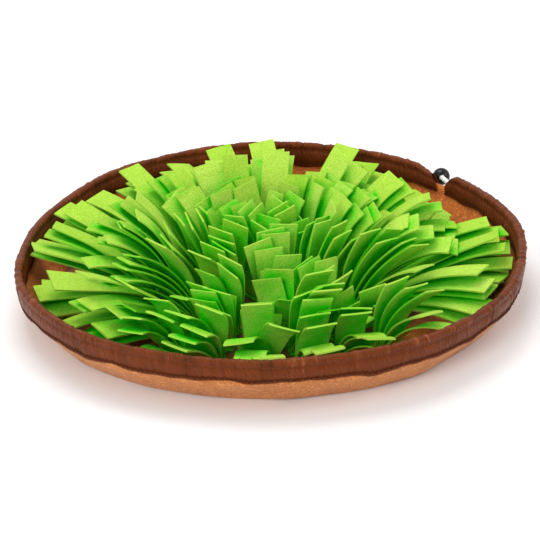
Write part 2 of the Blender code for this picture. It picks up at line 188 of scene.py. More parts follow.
def skin(rings, count, closed=True):
    """Faces between rings of as many points each, the last ring joined to the first."""
    return [(a * count + k, a * count + (k + 1) % count,
             (a + 1) % rings * count + (k + 1) % count, (a + 1) % rings * count + k)
            for a in range(rings if closed else rings - 1) for k in range(count)]


paper, _, _ = finish("studio_floor", Roughness=0.9, Base_Color=(0.86, 0.86, 0.86, 1))
floor = mesh_piece("floor", [(-6, -6, 0), (6, -6, 0), (6, 6, 0), (-6, 6, 0)],
                   [(0, 1, 2, 3)], paper)
floor.location.z = -0.2 * mm

# ---- Drawcord, its knot and the ball lock ------------------------------------
# A white braided round cord runs in the casing and comes out of its full mouth, goes
# through a glossy ball that clamps it, and hangs down behind the rim to a knot.

CORD = 5.0 * mm
LOCK_ANGLE = math.radians(43.5)
LOCK_RADIUS = 9.1 * mm
LOCK_REACH = 246.5 * mm        # from the mat's middle to the ball's
LOCK_HEIGHT = 37.0 * mm
lock_out = Vector((math.cos(LOCK_ANGLE), math.sin(LOCK_ANGLE), 0))
lock_side = UP.cross(lock_out)
lock_middle = MAT_MIDDLE + lock_out * LOCK_REACH + UP * LOCK_HEIGHT

# The cord's route about the ball's middle, in mm.
CORD_ROUTE = (
    # sideways, outward, up
    (-33.0, -16.2, 3.7),
    (-22.5, -14.9, 3.9),
    (-12.3, -10.4, 3.8),
    (-4.2, -4.0, 1.6),
    (4.2, 4.0, -1.6),
    (11.6, 10.8, -7.4),
    (13.9, 14.0, -20.0),
    (15.0, 21.4, -32.0),
    (14.4, 28.0, -34.1),
    (9.2, 41.0, -34.3),
)
CORD_SIDES = 28
STRANDS = 7                    # strands of the braid that wind each way
STRAND_PITCH = 2.6             # how slowly they wind, in cord radii
STRAND_DEPTH = 0.07            # of the grooves between them, in cord radii


def at_lock(sideways, outward_by, up_by):
    """A point given about the ball's middle, in mm."""
    return lock_middle + (lock_side * sideways + lock_out * outward_by + UP * up_by) * mm


def smooth_route(points, steps):
    """Points on a smooth curve through the given ones."""
    ends = [2 * points[0] - points[1]] + points + [2 * points[-1] - points[-2]]
    route = []
    for a, b, c, d in zip(ends, ends[1:], ends[2:], ends[3:]):
        for step in range(steps):
            t = step / steps
            route.append(0.5 * (2 * b + (c - a) * t + (2 * a - 5 * b + 4 * c - d) * t ** 2
                                + (3 * b - a - 3 * c + d) * t ** 3))
    return route + [points[-1]]


def braided_tube(name, line, radius, closed=False):
    """A round braid along a line: two sets of strands wind opposite ways round it, and each point
    keeps how high it lies on them, for the painted shade in the grooves.
    """
    frames = []
    side = None
    for here, point in enumerate(line):
        after = line[(here + 1) % len(line)] if closed else line[min(here + 1, len(line) - 1)]
        before = line[here - 1] if closed or here else line[0]
        along = (after - before).normalized()
        side = along.orthogonal() if side is None else side - along * side.dot(along)
        side.normalize()
        frames.append((point, side.copy(), along.cross(side)))
    vertices = []
    depths = []
    travelled = 0.0
    for here, (point, side, other) in enumerate(frames):
        if here:
            travelled += (point - frames[here - 1][0]).length
        for k in range(CORD_SIDES):
            turn = math.tau * k / CORD_SIDES
            wound = travelled / (STRAND_PITCH * radius)
            depth = max(math.cos(STRANDS * (turn + wound)), math.cos(STRANDS * (turn - wound)))
            depths.append(0.5 + 0.5 * depth)
            vertices.append(point + (side * math.cos(turn) + other * math.sin(turn))
                            * (radius - STRAND_DEPTH * radius * (1 - depth)))
    faces = skin(len(frames), CORD_SIDES, closed)
    if not closed:
        faces += [tuple(range(CORD_SIDES))[::-1],
                  tuple(range(len(vertices) - CORD_SIDES, len(vertices)))]
    piece = mesh_piece(name, vertices, faces, braid)
    tell(piece, "painted_braid_shade", depths)
    return piece


braid, braid_shader, tree = finish("white_braid", Roughness=0.75, Sheen_Weight=0.3)
fuzz = noise(tree, 2600.0, 3.0)
# the grooves between the strands get a painted shade, the strands' tops stay near white
white = mixed(tree, spread(tree, told(tree, "painted_braid_shade"), 0.35, 1.0),
              (0.40, 0.40, 0.39), (0.86, 0.86, 0.84))
white = mixed(tree, spread(tree, fuzz, 0.3, 0.7), white, (0.93, 0.93, 0.92))
dress(tree, braid_shader, white, (0.4, 0.2 * mm, fuzz))

cord_line = smooth_route([at_lock(*row) for row in CORD_ROUTE], 14)
cord = braided_tube("drawcord", cord_line, 0.5 * CORD)
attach(cord, "root")
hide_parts("draw_cord")

# The knot: one turn of the same cord pulled tight on itself, its cut end tucked under.
KNOT_REACH = 7.2 * mm          # from the cord's end to the knot's middle
KNOT_HEIGHT = 5.9 * mm
KNOT_LONG = 1.62 * mm
KNOT_WIDE = 1.5 * mm
KNOT_HIGH = 2.6 * mm
KNOT_STEPS = 90
heading = (cord_line[-1] - cord_line[-3]).normalized()
knot_across = UP.cross(heading)
knot_middle = cord_line[-1] + heading * KNOT_REACH
knot_middle.z = KNOT_HEIGHT
knot_line = []
for step in range(KNOT_STEPS):
    t = math.tau * step / KNOT_STEPS
    knot_line.append(knot_middle
                     + heading * (math.sin(t) + 2 * math.sin(2 * t)) * KNOT_LONG
                     + knot_across * (math.cos(t) - 2 * math.cos(2 * t)) * KNOT_WIDE
                     - UP * math.sin(3 * t) * KNOT_HIGH)
knot = braided_tube("knot", knot_line, 0.46 * CORD, closed=True)
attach(knot, "root")
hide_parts("cord_knot")

# The ball is moulded plastic, turned about its bore, with eased edges where the cord
# goes in and the fine line where its two halves meet.
plastic, plastic_shader, tree = finish("black_ball_plastic", Specular_IOR_Level=0.22)
scuff = noise(tree, 420.0, 6.0)
black = mixed(tree, spread(tree, scuff, 0.45, 0.75),
              (0.006, 0.006, 0.007), (0.016, 0.016, 0.018))
rough = add_node(tree, "ShaderNodeMapRange", Value=scuff, From_Min=0.3, From_Max=0.8,
                 To_Min=0.07, To_Max=0.22)
fill(tree, plastic_shader, Base_Color=black, Roughness=rough.outputs[0])

BORE_RADIUS = 2.95 * mm
BORE_EASE = 0.7 * mm           # the rounding of the bore's edges
BALL_SEAM = 0.12 * mm          # depth of the line between the halves
BALL_STEPS = 40
EASE_STEPS = 5
BALL_SIDES = 64
bore_line = (lock_side * 0.70 + lock_out * 0.66 - UP * 0.27).normalized()
mouth = math.asin((BORE_RADIUS + BORE_EASE) / LOCK_RADIUS)
edge = LOCK_RADIUS * math.cos(mouth)
eased = []
for step in range(1, EASE_STEPS + 1):
    turn = 0.5 * math.pi * step / EASE_STEPS
    eased.append((BORE_RADIUS + BORE_EASE * (1 - math.sin(turn)),
                  edge - BORE_EASE * (1 - math.cos(turn))))
ball_profile = []
for step in range(BALL_STEPS + 1):
    turn = mouth + (math.pi - 2 * mouth) * step / BALL_STEPS
    radius = LOCK_RADIUS - (BALL_SEAM if 2 * step == BALL_STEPS else 0)
    ball_profile.append((radius * math.sin(turn), LOCK_RADIUS * math.cos(turn)))
ball_profile += [(r, -h) for r, h in eased]
ball_profile += [(BORE_RADIUS, edge * height) for height in (-0.5, 0.0, 0.5)]
ball_profile += eased[::-1]
bore_side = bore_line.orthogonal().normalized()
bore_other = bore_line.cross(bore_side)
points = []
for k in range(BALL_SIDES):
    turn = math.tau * k / BALL_SIDES
    ray = bore_side * math.cos(turn) + bore_other * math.sin(turn)
    points += [lock_middle + ray * r + bore_line * h for r, h in ball_profile]
faces = skin(BALL_SIDES, len(ball_profile))
ball = mesh_piece("ball_lock", points, faces, plastic)
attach(ball, "root")
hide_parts("cord_lock")

# ---- Base cloth --------------------------------------------------------------
# One disc of tan microsuede makes the dish: a flat floor, and a wall that the drawn edge
# pulls up into soft gathers. Its edge is sewn inside the casing.

RIM_RADIUS = 240 * mm
RIM_HEIGHT = 51.4 * mm
FLOOR_RADIUS = 212 * mm
SEAM_HEIGHT = 28.5 * mm
CASING_HEIGHT = RIM_HEIGHT - SEAM_HEIGHT
SEAM_INSET = 4.3 * mm
WALL_SLOPE = 0.8
CLOTH = 2.0 * mm
GAP = 0.3 * mm
CASING_MIDDLE = 3.4 * mm
CASING_HALF = 3.0 * mm
CLOTH_EDGE = 16.0 * mm
SEAM_LAP = 2.0 * mm

OUTLINE = (
    # waves round the rim, cosine part, sine part
    (2, -3.4 * mm, 0.2 * mm),
    (3, 1.4 * mm, -3.9 * mm),
    (4, -0.4 * mm, 2.0 * mm),
    (11, 0.5 * mm, 0.3 * mm),
)
GATHERS = (
    # waves, height, phase
    (13, 0.9 * mm, 0.4),
    (22, 0.6 * mm, 2.1),
)


def outward(angle):
    """The direction away from the mat's middle."""
    return Vector((math.cos(angle), math.sin(angle), 0))


def polar(angle, radius, height):
    """A point from its angle, distance from the mat's middle and height."""
    return MAT_MIDDLE + outward(angle) * radius + UP * height


def outline_offset(angle):
    """How far the rim stands out from its circle."""
    return sum(c * math.cos(n * angle) + s * math.sin(n * angle) for n, c, s in OUTLINE)


def wall_middle(angle, height):
    """Distance from the axis to the middle of the rim's wall, at or above the seam."""
    rim = RIM_RADIUS + outline_offset(angle)
    seam = rim - SEAM_INSET - 0.5 * CLOTH
    share = (height - SEAM_HEIGHT) / CASING_HEIGHT
    return seam + share * (rim - CASING_MIDDLE - seam)


def dish_profile(angle, steps=5):
    """Outer and inner points of the base cloth at one angle, from the floor to its edge."""
    foot = FLOOR_RADIUS * (1 + outline_offset(angle) / RIM_RADIUS)
    seam = wall_middle(angle, SEAM_HEIGHT) + 0.5 * CLOTH
    top = SEAM_HEIGHT - SEAM_LAP
    gather = sum(h * math.cos(n * angle + p) for n, h, p in GATHERS)
    outer = []
    inner = []
    for step in range(steps + 1):
        turn = 0.5 * math.pi * step / steps
        across = (1 - WALL_SLOPE) * math.sin(turn) + WALL_SLOPE * (1 - math.cos(turn))
        run = (seam - foot) * ((1 - WALL_SLOPE) * math.cos(turn) + WALL_SLOPE * math.sin(turn))
        rise = top * math.sin(turn)
        out = Vector((rise, -run)).normalized()
        point = Vector((foot + (seam - foot) * across, top * (1 - math.cos(turn))))
        point += out * gather * math.sin(2 * turn) ** 2
        outer.append(point)
        inner.append(point - out * CLOTH)
    edge = RIM_HEIGHT - CLOTH_EDGE
    for side, points in ((0.5, outer), (-0.5, inner)):
        points.append(Vector((wall_middle(angle, edge) + side * CLOTH, edge)))
    return outer, inner


suede, suede_shader, tree = finish("tan_microsuede", Roughness=0.9, Sheen_Weight=0.16,
                                   Sheen_Tint=(0.95, 0.72, 0.5, 1))
brushed = noise(tree, 26.0, 5.0, Roughness=0.6)
nap = noise(tree, 900.0, 4.0)
fleck = noise(tree, 260.0, 4.0, Roughness=0.7)
tan = mixed(tree, spread(tree, brushed, 0.36, 0.66), (0.43, 0.128, 0.026), (0.61, 0.212, 0.050))
tan = mixed(tree, spread(tree, fleck, 0.50, 0.70), tan, (0.80, 0.36, 0.115))
tan = mixed(tree, spread(tree, nap, 0.47, 0.66), tan, (0.28, 0.078, 0.018))
# the dish's inside is a deeper, redder tan, with a painted shade where felt lies close over it
for name, low, high, shade in (("within", 0.0, 1.0, (1.20, 0.92, 0.44)),
                               ("painted_shade_under_felt", 0.15, 0.46, (0.16, 0.24, 0.18))):
    tan = mixed(tree, spread(tree, told(tree, name), low, high), tan, shade, "MULTIPLY")
dress(tree, suede_shader, tan, (0.5, 0.4 * mm, nap), (0.35, 1.2 * mm, brushed))

# Short creases run down from the seam, where the drawn edge bunches the cloth.
CREASES = 64
draw = random.Random(11)
creases = [(math.tau * (i + draw.uniform(-0.4, 0.4)) / CREASES, draw.uniform(0.008, 0.032),
            draw.uniform(-1.5, 0.7) * mm, draw.uniform(0.35, 0.9)) for i in range(CREASES)]
DISH_STATIONS = 540
DISH_STEPS = 16
FLOOR_RINGS = 7

rings = []
for station in range(DISH_STATIONS):
    angle = math.tau * station / DISH_STATIONS
    outer, inner = dish_profile(angle, DISH_STEPS)
    for step in range(2, DISH_STEPS):
        share = step / DISH_STEPS
        push = 0.0
        for middle, width, height, reach in creases:
            away = math.remainder(angle - middle, math.tau) / width
            if abs(away) < 3:
                push += height * math.exp(-away * away) * max(0.0, share - 1 + reach) / reach
        push *= math.sin(math.pi * share) ** 0.5
        lean = (inner[step] - outer[step]).normalized()
        outer[step] -= lean * push
        inner[step] -= lean * push
    inward = [Vector((inner[0].x * (1 - k / FLOOR_RINGS), inner[0].y))
              for k in range(1, FLOOR_RINGS)]
    under = [Vector((outer[0].x * k / FLOOR_RINGS, 0)) for k in range(1, FLOOR_RINGS)]
    rings.append([polar(angle, p.x, p.y) for p in under + outer + inner[::-1] + inward])
count = len(rings[0])
points = [p for ring in rings for p in ring] + [polar(0, 0, 0), polar(0, 0, CLOTH)]
faces = []
for a in range(DISH_STATIONS):
    b = (a + 1) % DISH_STATIONS
    faces += [(a * count + k, b * count + k, b * count + k + 1, a * count + k + 1)
              for k in range(count - 1)]
    faces.append((a * count, len(points) - 2, b * count))
    faces.append((a * count + count - 1, b * count + count - 1, len(points) - 1))
dish = mesh_piece("base_dish", points, faces, suede)
outside_rows = len(under) + len(outer)
dish_inside = (([0.0] * outside_rows + [1.0] * (count - outside_rows)) * DISH_STATIONS
               + [0.0, 1.0])
tell(dish, "within", dish_inside)
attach(dish, "root")
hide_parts("base_cloth")

# ---- Casing ------------------------------------------------------------------
# A strip of thin brown satin nylon is folded over the cloth's edge, sewn down on both
# sides and ruched along the cord. It is open at two mouths beside the ball.

MOUTH_START = 35.5
MOUTH_END = 44.2
MOUTH_SLANT = 3.0
RIM_DIP = 6.0 * mm
RIM_DIP_WIDTH = math.radians(3.0)
NYLON = 0.7 * mm
RIM_WAVES = (
    # waves round the rim, height, phase
    (5, 0.7 * mm, 1.0),
    (9, 0.4 * mm, 0.0),
)

CASING_LINE = (
    # share of the height above the seam, distance from the wall's middle, painted shade of its
    # groove
    (-0.03, 2.8 * mm, 0.0),
    (0.04, 3.2 * mm, 0.1),
    (0.10, 2.4 * mm, 0.4),
    (0.16, 3.2 * mm, 0.1),
    (0.30, 3.8 * mm, 0.0),
    (0.48, 3.8 * mm, 0.0),
    (0.62, 3.4 * mm, 0.1),
    (0.69, 2.3 * mm, 0.5),
    (0.75, 3.2 * mm, 0.1),
    (0.84, 3.6 * mm, 0.0),
    (0.93, 3.2 * mm, 0.0),
    (0.98, 2.0 * mm, 0.0),
    (1.0, 0.0, 0.0),
)
MOUTH_FULLNESS = (
    # angle round from the slanted mouth, fullness, share of the mouth's slant
    (0.0, 0.84, -1.0),
    (2.9, 1.0, -0.45),
    (6.0, 1.0, 0.0),
    (345.8, 1.12, 0.0),
    (348.55, 1.26, 0.45),
    (351.3, 1.30, 1.0),
)


def rim_top(angle):
    """Height of the casing's top."""
    wave = sum(h * math.sin(n * angle + p) for n, h, p in RIM_WAVES)
    away = math.remainder(angle - math.radians(MOUTH_END), math.tau)
    return RIM_HEIGHT + wave - RIM_DIP * math.exp(-(away / RIM_DIP_WIDTH) ** 2)


def casing_point(angle, out, share, slant):
    """A point of the casing from its share of the height and its way out of the wall."""
    up = SEAM_HEIGHT + share * (rim_top(angle) - SEAM_HEIGHT)
    turned = angle + math.radians(slant * MOUTH_SLANT) * (1 - max(share, 0) ** 3)
    return polar(turned, wall_middle(turned, up) + out, up)


nylon, nylon_shader, tree = finish("brown_satin_nylon", Roughness=0.40,
                                   Specular_IOR_Level=0.34,
                                   Specular_Tint=(1.0, 0.42, 0.22, 1))
weave = add_node(tree, "ShaderNodeUVMap").outputs[0]
slanted = add_node(tree, "ShaderNodeMapping", Vector=weave, Scale=(1.0, 5.0, 1.0),
                   Rotation=(0, 0, math.radians(22)))
slanted.vector_type = "TEXTURE"
ruche = noise(tree, 520.0, 3.0, slanted.outputs[0], Distortion=0.6)
threads = noise(tree, 2400.0, 2.0, weave)
patch = noise(tree, 40.0, 3.0, weave)
painted_fold_light = told(tree, "painted_fold_light")
brown = mixed(tree, spread(tree, patch, 0.3, 0.7), (0.098, 0.018, 0.003), (0.152, 0.030, 0.006))
# a painted highlight on the ruching's raised ridges
painted_ridge_highlight = mixed(tree, spread(tree, ruche, 0.44, 0.58), brown, (0.34, 0.098, 0.034))
brown = mixed(tree, spread(tree, painted_fold_light, 0.58, 1.05), brown, painted_ridge_highlight)
# a painted shade in the ruching's valleys, in the grooves under the roll and above the hem, and a
# little on the hidden lining
brown = mixed(tree, spread(tree, painted_fold_light, 0.42, -0.2), brown, (0.038, 0.008, 0.002))
brown = mixed(tree, spread(tree, ruche, 0.46, 0.28), brown, (0.085, 0.019, 0.005))
brown = mixed(tree, spread(tree, threads, 0.45, 0.85), brown, (0.22, 0.056, 0.018))
dress(tree, nylon_shader, brown, (1.0, 2.2 * mm, ruche), (0.2, 0.1 * mm, threads))

CASING_STATIONS = 2300
LINING_EVERY = 3               # rows of the outside to one of the lining
section = list(CASING_LINE) + [(share, -out, dark) for share, out, dark in CASING_LINE[-2::-1]]
levels = len(section)
sweep = 360 + MOUTH_START - MOUTH_END

# Gathers of the ruched strip: narrow folds across it, each over part of its width, and
# slack between them.
GATHERING = (
    # least and most: half width in degrees, height, share of the width, slope, step
    ((0.13, 0.32), (-0.70 * mm, 0.85 * mm), (0.10, 0.36), 2.2, (0.14, 0.66)),
    ((0.45, 1.10), (-0.80 * mm, 0.60 * mm), (0.12, 0.45), 3.2, (0.80, 2.40)),
    ((1.60, 3.40), (-0.80 * mm, 0.60 * mm), (0.20, 0.60), 4.0, (3.50, 8.00)),
)
draw = random.Random(5)
ruching = np.zeros((CASING_STATIONS, levels))
place_of = np.linspace(0, sweep, CASING_STATIONS)
level_of = np.linspace(0, 1, levels)
for widths, heights, reaches, most_slope, steps in GATHERING:
    degrees = 0.0
    while degrees < sweep:
        width = draw.uniform(*widths)
        height = draw.uniform(*heights)
        middle = draw.uniform(0.05, 0.95)
        reach = draw.uniform(*reaches)
        slope = draw.uniform(-most_slope, 0.8 * most_slope)
        band = np.exp(-((level_of - middle) / reach) ** 4)
        near = np.abs(place_of - degrees) < 4 * width + most_slope
        away = (place_of[near, None] - degrees - slope * (level_of - middle)[None, :]) / width
        ruching[near] += height * np.exp(-away ** 2) * band[None, :]
        degrees += draw.uniform(*steps)
ruching = np.clip(ruching, -1.5 * mm, 1.3 * mm)

HEM_WAVES = (
    # waves round the rim, height, phase
    (17, 0.90 * mm, 0.3),
    (29, 0.80 * mm, 1.9),
    (43, 0.40 * mm, 0.7),
    (71, 0.30 * mm, 4.0),
)
FRONT_LIFT = 2.0 * mm          # the hem rises a little at the front
FRONT = math.radians(268)
FRONT_WIDTH = math.radians(24)


def hem_lift(angle):
    """How far the casing's lower edge rises, as a share of the casing's height."""
    away = math.remainder(angle - FRONT, math.tau) / FRONT_WIDTH
    return (sum(h * math.sin(n * angle + p) for n, h, p in HEM_WAVES)
            + FRONT_LIFT * math.exp(-away * away)) / CASING_HEIGHT


fullness_at, fullness_of, slant_of = zip(*MOUTH_FULLNESS)
points = []
painted_fold_lights = []
for station in range(CASING_STATIONS):
    turned = place_of[station]
    angle = math.radians(MOUTH_END + turned)
    full = np.interp(turned, fullness_at, fullness_of)
    slant = np.interp(turned, fullness_at, slant_of)
    lift = hem_lift(angle)
    outside = []
    lining = []
    # how strong the grooves' painted shade is round the rim
    groove_shade_strength = 0.7 + 0.3 * math.sin(3 * angle + 0.8) * math.sin(7 * angle)
    for level, (share, out, dark) in enumerate(section):
        grow = full if share > 0.3 else 1
        from_hem = min(level, levels - 1 - level) / levels
        bump_up = ruching[station, level] * min(1, 0.35 + 2 * from_hem)
        share += lift * max(0, 1 - (share + 0.03) / 0.35)
        turn = 1 if level < levels // 2 else -1
        if abs(level - levels // 2) < 2:
            share += 0.7 * bump_up / CASING_HEIGHT
            turn *= 0.4
        outside.append(casing_point(angle, out * grow + turn * bump_up, share, slant))
        # each point's fold height, less its groove's painted shade, sets the nylon's painted
        # highlight and shade
        painted_fold_lights.append(0.5 + 0.5 * bump_up / mm - dark * groove_shade_strength)
        if level % LINING_EVERY == 0:
            thin = math.copysign(max(abs(out * grow) - NYLON, 0), out)
            lining.append(casing_point(angle, thin + turn * bump_up * 0.8,
                                       share - 0.04 * max(share, 0) ** 6, slant))
    points += outside + lining[::-1]
    # the lining inside the fold gets a little painted shade
    painted_fold_lights += [0.3] * len(lining)
ring = levels + len(lining)
faces = [(a, d, c, b) for a, b, c, d in skin(CASING_STATIONS, ring, closed=False)]
faces += [tuple(range(ring)), tuple(range(len(points) - ring, len(points)))[::-1]]
casing = mesh_piece("ruched_casing", points, faces, nylon)
tell(casing, "painted_fold_light", painted_fold_lights)
uv = casing.data.uv_layers.new(name="UVMap")
across = [0.0]
for (s0, o0, _), (s1, o1, _) in zip(section, section[1:]):
    across.append(across[-1] + math.hypot((s1 - s0) * CASING_HEIGHT, o1 - o0))
across += across[::-LINING_EVERY]
for corner in casing.data.loops:
    station, row = divmod(corner.vertex_index, ring)
    uv.data[corner.index].uv = (math.radians(place_of[station]) * RIM_RADIUS, across[row])
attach(casing, "root")
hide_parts("rim_channel")

# ---- Hem stitches ------------------------------------------------------------
# The casing's two folded hems are sewn down through the cloth with dark thread, in a
# close zigzag that shows as a row of short slanted stitches outside and inside.

STITCH_UP = 0.11               # share of the casing's height above the hem
STITCH_OUT = 3.45 * mm         # from the wall's middle

thread, thread_shader, tree = finish("dark_thread", Roughness=0.7, Specular_IOR_Level=0.1)
dark = mixed(tree, noise(tree, 1900.0, 2.0), (0.030, 0.007, 0.002), (0.130, 0.033, 0.010))
dress(tree, thread_shader, dark)

STITCHES = (
    # what the tree below is given: name, kind, value
    ("Step", "Float", 2.3 * mm),
    ("Length", "Float", 3.4 * mm),
    ("Thickness", "Float", 0.9 * mm),
    ("Slant", "Float", math.radians(48)),
    ("Seed", "Int", 4),
    ("Thread", "Material", thread),
)


def stitch_tree():
    """A node tree that sets slanted stitches along a line on a wall round the z axis."""
    tree = bpy.data.node_groups.new("stitches_along_hem", "GeometryNodeTree")
    face = tree.interface
    face.new_socket("Line", in_out="INPUT", socket_type="NodeSocketGeometry")
    for name, kind, _ in STITCHES:
        face.new_socket(name, in_out="INPUT", socket_type="NodeSocket" + kind)
    face.new_socket("Stitches", in_out="OUTPUT", socket_type="NodeSocketGeometry")
    given = tree.nodes.new("NodeGroupInput").outputs
    result = tree.nodes.new("NodeGroupOutput")

    def node(kind, settings=(), **inputs):
        return next(s for s in add_node(tree, kind, settings, **inputs).outputs if s.enabled)

    def sums(operation, *values, kind="ShaderNodeMath"):
        made = add_node(tree, kind, [("operation", operation)])
        for socket, value in zip(made.inputs, values):
            feed(tree, socket, value)
        return made.outputs[0]

    # places along the line, each turned to lie on the wall
    curve = node("GeometryNodeMeshToCurve", Mesh=given["Line"])
    even = node("GeometryNodeResampleCurve", [("mode", "LENGTH")], Curve=curve,
                Length=given["Step"])
    flat = sums("MULTIPLY", node("GeometryNodeInputPosition"), (1, 1, 0),
                kind="ShaderNodeVectorMath")
    lying = node("FunctionNodeAlignRotationToVector", [("axis", "X")],
                 Vector=node("GeometryNodeInputTangent"))
    facing = node("FunctionNodeAlignRotationToVector", [("axis", "Z"), ("pivot_axis", "X")],
                  Rotation=lying, Vector=flat)
    # every other stitch slants the other way, each by a little more or less
    odd = sums("FLOORED_MODULO", node("GeometryNodeInputIndex"), 2.0)
    way = sums("MULTIPLY_ADD", odd, 2.0, -1.0)
    loose = node("FunctionNodeRandomValue", Min=0.7, Max=1.3, Seed=given["Seed"])
    angle = sums("MULTIPLY", sums("MULTIPLY", way, loose), given["Slant"])
    turned = node("FunctionNodeRotateRotation", [("rotation_space", "LOCAL")], Rotation=facing,
                  Rotate_By=node("FunctionNodeAxisAngleToRotation", Axis=(0, 0, 1), Angle=angle))
    # one stitch: a short round bar
    halves = [sums("MULTIPLY", given["Length"], way) for way in (-0.5, 0.5)]
    ends = [node("ShaderNodeCombineXYZ", X=half) for half in halves]
    bar = node("GeometryNodeCurvePrimitiveLine", Start=ends[0], End=ends[1])
    ring = node("GeometryNodeCurvePrimitiveCircle", Resolution=6,
                Radius=sums("MULTIPLY", given["Thickness"], 0.5))
    stitch = node("GeometryNodeCurveToMesh", Curve=bar, Profile_Curve=ring, Fill_Caps=True)
    sewn = node("GeometryNodeInstanceOnPoints", Points=even, Instance=stitch, Rotation=turned)
    real = node("GeometryNodeRealizeInstances", Geometry=sewn)
    dyed = node("GeometryNodeSetMaterial", Geometry=real, Material=given["Thread"])
    tree.links.new(dyed, result.inputs[0])
    return tree


line = []
edges = []
for side in (1, -1):
    first = len(line)
    for station in range(0, CASING_STATIONS, 3):
        turned = place_of[station]
        angle = math.radians(MOUTH_END + turned)
        slant = np.interp(turned, fullness_at, slant_of)
        lift = hem_lift(angle)
        row = 1 if side == 1 else levels - 2
        swell = ruching[station, row] * (0.35 + 2 / levels)
        line.append(casing_point(angle, side * (STITCH_OUT + swell), STITCH_UP + lift * 0.8,
                                 slant))
    edges += [(k, k + 1) for k in range(first, len(line) - 1)]
guide_mesh = bpy.data.meshes.new("hem_line")
guide_mesh.from_pydata([tuple(p) for p in line], edges, [])
guide = add_object("hem_line", guide_mesh)
sew = guide.modifiers.new("stitches", "NODES")
sew.node_group = stitch_tree()
sockets = {item.name: item.identifier for item in sew.node_group.interface.items_tree}
for name, _, value in STITCHES:
    sew[sockets[name]] = value
sewn_mesh = bpy.data.meshes.new_from_object(
    guide.evaluated_get(bpy.context.evaluated_depsgraph_get()))
bpy.data.objects.remove(guide)
stitches = add_object("hem_stitches", sewn_mesh)
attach(stitches, "root")

# ---- Felt strips -------------------------------------------------------------
# Lime green needle felt, cut into strips as wide as two fingers. They are sewn down in
# bunches, in rings, and lean outward over each other from the middle to the rim.

STRIP_WIDTH = 26 * mm
FELT = 1.6 * mm
LEAST_PITCH = 2.7 * mm
LAYER = 2.3 * mm
BACKING = 1.5 * mm
BACKING_LIP = 3.0 * mm
ELBOW_OUT = 1.2 * mm
ELBOW_UP = 3.6 * mm
CLEAR = 0.45 * mm
STRIP_PARTS = 2
TRIES = 80
SEED = 15

RINGS = (
    # name, bunches, first angle, arc, root radius, strips, pitch, lean, lean spread, length,
    # fan, bend, turn
    ("front", 6, 238.0, 84, 170 * mm, 5, 2.7 * mm, 64, 40, 78 * mm, 14, 20, 16),
    ("outer", 22, 4.0, 360, 120 * mm, 5, 2.7 * mm, 19, 22, 118 * mm, 9, 12, 10),
    ("second", 14, 12.0, 360, 95 * mm, 6, 3.0 * mm, 58, 28, 95 * mm, 10, 26, 24),
    ("third", 9, 30.0, 360, 66 * mm, 6, 3.8 * mm, 77, 28, 85 * mm, 12, 22, 30),
    ("centre", 4, 60.0, 360, 34 * mm, 5, 4.4 * mm, 90, 24, 80 * mm, 13, 18, 50),
)
PUSHED = (
    # ring, angle, half width, more lean, less bend, outward, length share
    ("outer", 95, 44, 10, 0, -8 * mm, 0.96),
    ("outer", 268, 32, 50, 0, 22 * mm, 0.78),
    ("outer", 44, 13, 0, 0, -4 * mm, 0.82),
    ("second", 268, 50, 20, 12, 18 * mm, 0.95),
    ("second", 20, 30, -12, 0, 0, 1.10),
    ("third", 268, 70, 8, 12, 6 * mm, 1.0),
)


def wall_inside(angle, height):
    """Distance from the axis to the inside of the wall, for what lies in the dish."""
    outer, inner = dish_profile(angle)
    for low, high in zip(inner, inner[1:]):
        if low.y <= height <= high.y:
            share = (height - low.y) / (high.y - low.y)
            reach = low.x + share * (high.x - low.x)
            break
    else:
        reach = inner[-1].x if height > inner[-1].y else inner[0].x
    if height > SEAM_HEIGHT - SEAM_LAP:
        reach -= CASING_HALF
    return reach


def clear_of_dish(point, above, within):
    """True where a point lies this far above the floor and within the wall."""
    if point.z < CLOTH + above:
        return False
    away = point - MAT_MIDDLE
    angle = math.atan2(away.y, away.x)
    return math.hypot(away.x, away.y) <= wall_inside(angle, point.z) - within


def strip_start(strip):
    """The way along a strip, its width direction and its normal, where its foot ends."""
    normal = UP * math.cos(strip["lean"]) - strip["out"] * math.sin(strip["lean"])
    along = strip["out"] * math.cos(strip["lean"]) + UP * math.sin(strip["lean"])
    fan = Quaternion(normal, strip["fan"])
    return fan @ along, fan @ strip["side"], normal


def strip_sections(strip, thickness):
    """Four corners at each station of a strip, from where it bends to its tip."""
    along, width, normal = strip_start(strip)
    place = strip["elbow"].copy()
    sections = []
    for part in range(STRIP_PARTS + 1):
        half_w = 0.5 * STRIP_WIDTH * width
        half_t = 0.5 * thickness * normal
        sections.append([place - half_w - half_t, place + half_w - half_t,
                         place + half_w + half_t, place - half_w + half_t])
        if part == STRIP_PARTS:
            break
        half_bend = Quaternion(width, 0.5 * strip["bend"] / STRIP_PARTS)
        along = half_bend @ along
        place = place + along * strip["length"] / STRIP_PARTS
        along = half_bend @ along
        along = along.normalized()
        width = Quaternion(along, strip["twist"] / STRIP_PARTS) @ width
        normal = along.cross(width).normalized()
    return sections


def foot_section(strip, thickness):
    """The same four corners where the strip stands on its backing."""
    half_w = 0.5 * STRIP_WIDTH * strip["side"]
    half_t = 0.5 * thickness * strip["out"]
    foot = strip["foot"]
    return [foot + half_t - half_w, foot + half_t + half_w,
            foot - half_t + half_w, foot - half_t - half_w]


def closed_box(sections):
    """A tree for overlap tests, of a body lofted through sections of four corners."""
    vertices = [tuple(point) for section in sections for point in section]
    faces = [(0, 1, 2, 3), tuple(range(len(vertices) - 4, len(vertices)))]
    faces += skin(len(sections), 4, closed=False)
    return BVHTree.FromPolygons(vertices, faces)


def strip_body(strip, thickness, foot):
    """The strip by itself, with or without its foot, for finding what it touches."""
    feet = [foot_section(strip, thickness)] if foot else []
    return closed_box(feet + strip_sections(strip, thickness))


